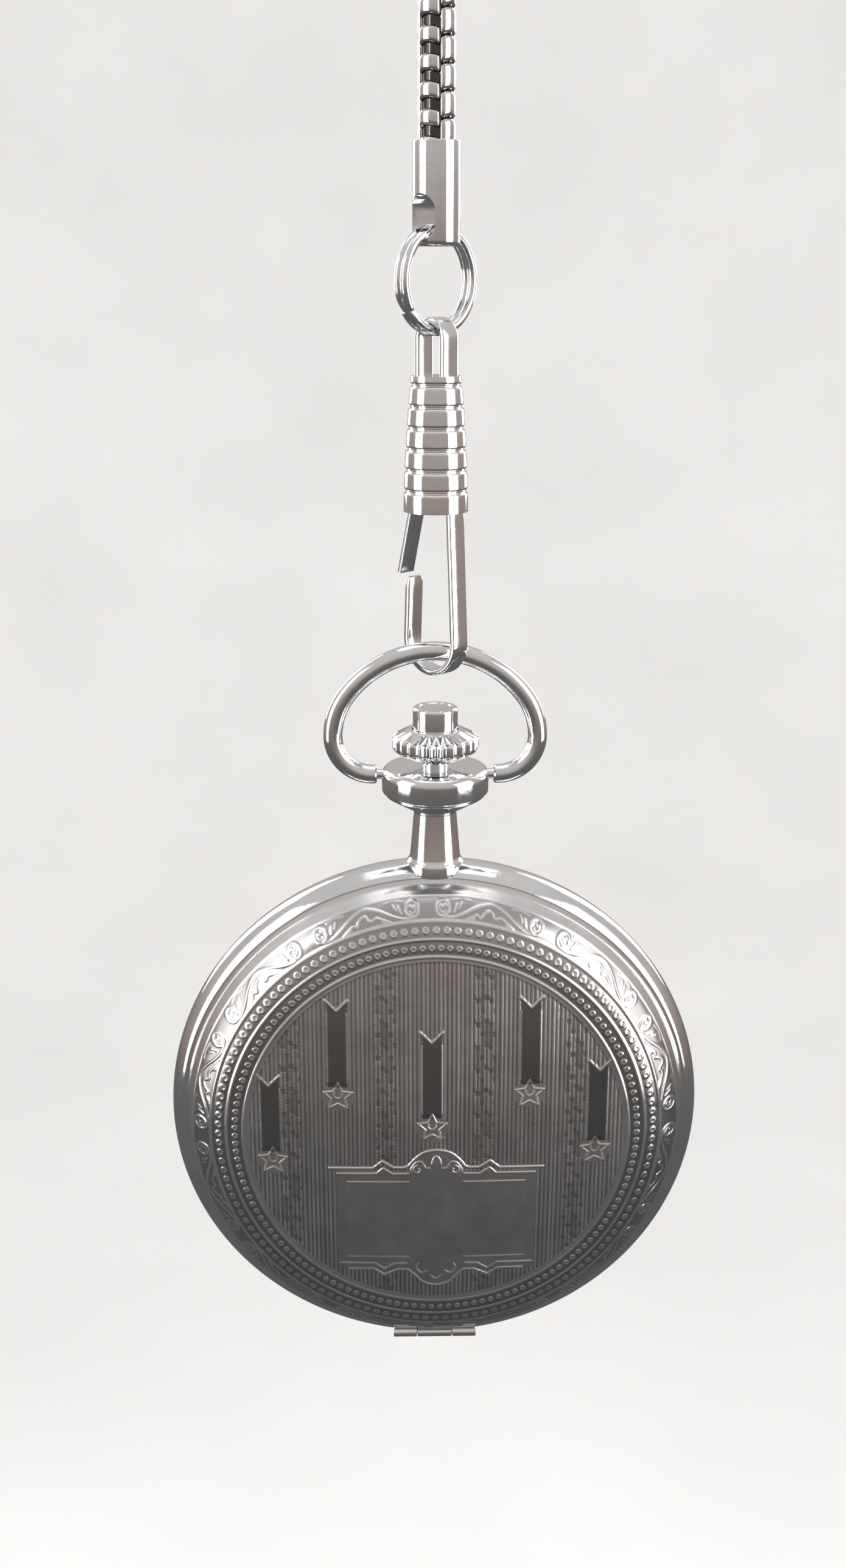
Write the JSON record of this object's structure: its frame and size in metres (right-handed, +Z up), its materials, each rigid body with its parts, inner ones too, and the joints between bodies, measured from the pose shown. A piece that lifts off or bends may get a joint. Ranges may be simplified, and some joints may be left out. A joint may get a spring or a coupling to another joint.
{
  "type": "pocket watch",
  "caption": "Hunter-case quartz pocket watch with an engraved lid, hung by its bow from a sleeve-and-spring clip, split ring and snake chain.",
  "frame": {"origin": "centre of the bend of the upper clip's hook, where the whole watch hangs", "axes": "+Z up, the engraved lid and the dial face -Y, +X to the right of somebody looking at the lid"},
  "size_m": [0.047, 0.0127, 0.1756],
  "materials": {
    "chrome": "polished",
    "chain_steel": "polished",
    "steel": "satin",
    "brass": "satin",
    "mineral_glass": "polished, clear",
    "black_plastic": "matte",
    "white_plastic": "gloss",
    "dial_enamel": "satin lacquer",
    "blued_steel": "gloss",
    "copper_wire": "enamelled wire",
    "green_board": "satin"
  },
  "bodies": {
    "upper_clip": {"upper_clip_wire": "chrome", "upper_clip_sleeve": "chrome"},
    "upper_gate": {"upper_clip_gate": "steel"},
    "upper_ring": {"upper_split_ring": "chrome"},
    "chain": {"upper_end_cap": "chrome", "snake_chain": "chain_steel", "lower_end_cap": "chrome"},
    "lower_ring": {"lower_split_ring": "chrome"},
    "lower_clip": {"lower_clip_wire": "chrome", "lower_clip_sleeve": "chrome"},
    "lower_gate": {"lower_clip_gate": "steel"},
    "bow": {"bow": "chrome"},
    "case": {"pendant": "chrome", "case_band": "chrome", "crown_tube": "steel", "lid_hinge_pin": "steel", "lid_spring": "steel", "bezel": "chrome", "crystal_gasket": "black_plastic", "crystal": "mineral_glass", "dial": "dial_enamel", "movement_ring": "white_plastic", "main_plate": "brass", "train_bridge": "brass", "bridge_screws": "steel", "stator": "steel", "coil_core": "steel", "coil_winding": "copper_wire", "core_screws": "steel", "circuit_board": "green_board", "circuit_chip": "black_plastic", "quartz_can": "steel", "battery": "steel", "battery_strap": "steel"},
    "lid": {"front_lid": "chrome"},
    "catch": {"lid_catch": "steel"},
    "rear_cover": {"rear_cover": "chrome"},
    "stem": {"setting_stem": "steel", "sliding_pinion": "steel"},
    "crown": {"crown": "chrome", "button_spring": "steel"},
    "button": {"push_button": "chrome", "button_rod": "steel"},
    "rotor": {"rotor": "black_plastic"},
    "intermediate": {"intermediate_wheel": "brass"},
    "fourth": {"fourth_wheel": "brass", "seconds_hand": "blued_steel"},
    "third": {"third_wheel": "brass"},
    "centre": {"centre_wheel": "brass", "cannon_pinion": "steel", "minute_hand": "blued_steel"},
    "minute": {"minute_wheel": "brass"},
    "hour": {"hour_wheel": "brass", "hour_hand": "blued_steel"},
    "setting": {"setting_wheel": "steel"}
  },
  "joints": [
    {"name": "upper_gate_swing", "type": "hinge", "parent": "upper_clip", "child": "upper_gate", "pos_m": [-0.0022, 0, -0.0104], "axis": [0, 1, 0], "range_deg": [0, 16], "stiffness_Nm_per_rad": 0.02},
    {"name": "upper_ring_swing", "type": "hinge", "parent": "upper_clip", "child": "upper_ring", "pos_m": [0, 0, -0.02403], "axis": [0, 1, 0], "range_deg": [-25, 25]},
    {"name": "chain_swing", "type": "hinge", "parent": "upper_ring", "child": "chain", "pos_m": [0, 0, -0.03245], "axis": [0, 1, 0], "range_deg": [-25, 25]},
    {"name": "lower_ring_swing", "type": "hinge", "parent": "chain", "child": "lower_ring", "pos_m": [0, 0, -0.07407], "axis": [0.7071, 0.7071, 0], "range_deg": [-25, 25]},
    {"name": "lower_clip_swing", "type": "hinge", "parent": "lower_ring", "child": "lower_clip", "pos_m": [0, 0, -0.08248], "axis": [0.7071, 0.7071, 0], "range_deg": [-25, 25]},
    {"name": "lower_gate_swing", "type": "hinge", "parent": "lower_clip", "child": "lower_gate", "pos_m": [-0.00156, 0.00156, -0.09611], "axis": [-0.7071, -0.7071, 0], "range_deg": [0, 16], "stiffness_Nm_per_rad": 0.02},
    {"name": "bow_swing", "type": "hinge", "parent": "lower_clip", "child": "bow", "pos_m": [0, 0, -0.10746], "axis": [1, 0, 0], "range_deg": [-20, 20]},
    {"name": "case_swing", "type": "hinge", "parent": "bow", "child": "case", "pos_m": [0, 0, -0.11806], "axis": [1, 0, 0], "range_deg": [-80, 80]},
    {"name": "lid_hinge", "type": "hinge", "parent": "case", "child": "lid", "pos_m": [0, -0.0024, -0.17156], "axis": [1, 0, 0], "range_deg": [0, 90]},
    {"name": "rear_cover_off", "type": "slide", "parent": "case", "child": "rear_cover", "axis": [0, 1, 0], "range_m": [0, 0.01]},
    {"name": "stem_turn", "type": "hinge", "parent": "case", "child": "stem", "pos_m": [0, 0, -0.13516], "axis": [0, 0, 1], "continuous": true},
    {"name": "crown_pull", "type": "slide", "parent": "stem", "child": "crown", "axis": [0, 0, 1], "range_m": [0, 0.001]},
    {"name": "button_press", "type": "slide", "parent": "crown", "child": "button", "axis": [0, 0, -1], "range_m": [0, 0.001], "stiffness_N_per_m": 500, "deforming": ["button_spring"]},
    {"name": "catch_slide", "type": "slide", "parent": "case", "child": "catch", "axis": [0, 0, -1], "range_m": [0, 0.0005]},
    {"name": "seconds_turn", "type": "hinge", "parent": "case", "child": "fourth", "pos_m": [0, 0.002, -0.14916], "axis": [0, -1, 0], "continuous": true},
    {"name": "intermediate_turn", "type": "hinge", "parent": "case", "child": "intermediate", "pos_m": [0.0035, 0.0024, -0.14789], "axis": [0, -1, 0], "continuous": true},
    {"name": "rotor_turn", "type": "hinge", "parent": "case", "child": "rotor", "pos_m": [0.0049, 0.0023, -0.14547], "axis": [0, -1, 0], "continuous": true},
    {"name": "third_turn", "type": "hinge", "parent": "case", "child": "third", "pos_m": [-0.00368, 0.0017, -0.14852], "axis": [0, -1, 0], "continuous": true},
    {"name": "centre_turn", "type": "hinge", "parent": "case", "child": "centre", "pos_m": [0, 0.0014, -0.14916], "axis": [0, -1, 0], "continuous": true},
    {"name": "minute_turn", "type": "hinge", "parent": "case", "child": "minute", "pos_m": [-0.00192, -0.0004, -0.14584], "axis": [0, -1, 0], "continuous": true},
    {"name": "hour_turn", "type": "hinge", "parent": "case", "child": "hour", "pos_m": [0, -0.0007, -0.14916], "axis": [0, -1, 0], "continuous": true},
    {"name": "setting_turn", "type": "hinge", "parent": "case", "child": "setting", "pos_m": [-0.00076, -0.0003, -0.14151], "axis": [0, -1, 0], "continuous": true}
  ],
  "couplings": [
    {"joint": "rotor_turn", "follows": "seconds_turn", "ratio": 30},
    {"joint": "intermediate_turn", "follows": "seconds_turn", "ratio": -5},
    {"joint": "third_turn", "follows": "seconds_turn", "ratio": -0.13333},
    {"joint": "centre_turn", "follows": "seconds_turn", "ratio": 0.016667},
    {"joint": "minute_turn", "follows": "seconds_turn", "ratio": -0.0055556},
    {"joint": "hour_turn", "follows": "seconds_turn", "ratio": 0.0013889},
    {"joint": "setting_turn", "follows": "seconds_turn", "ratio": 0.01},
    {"joint": "catch_slide", "follows": "button_press", "ratio": 0.5}
  ]
}
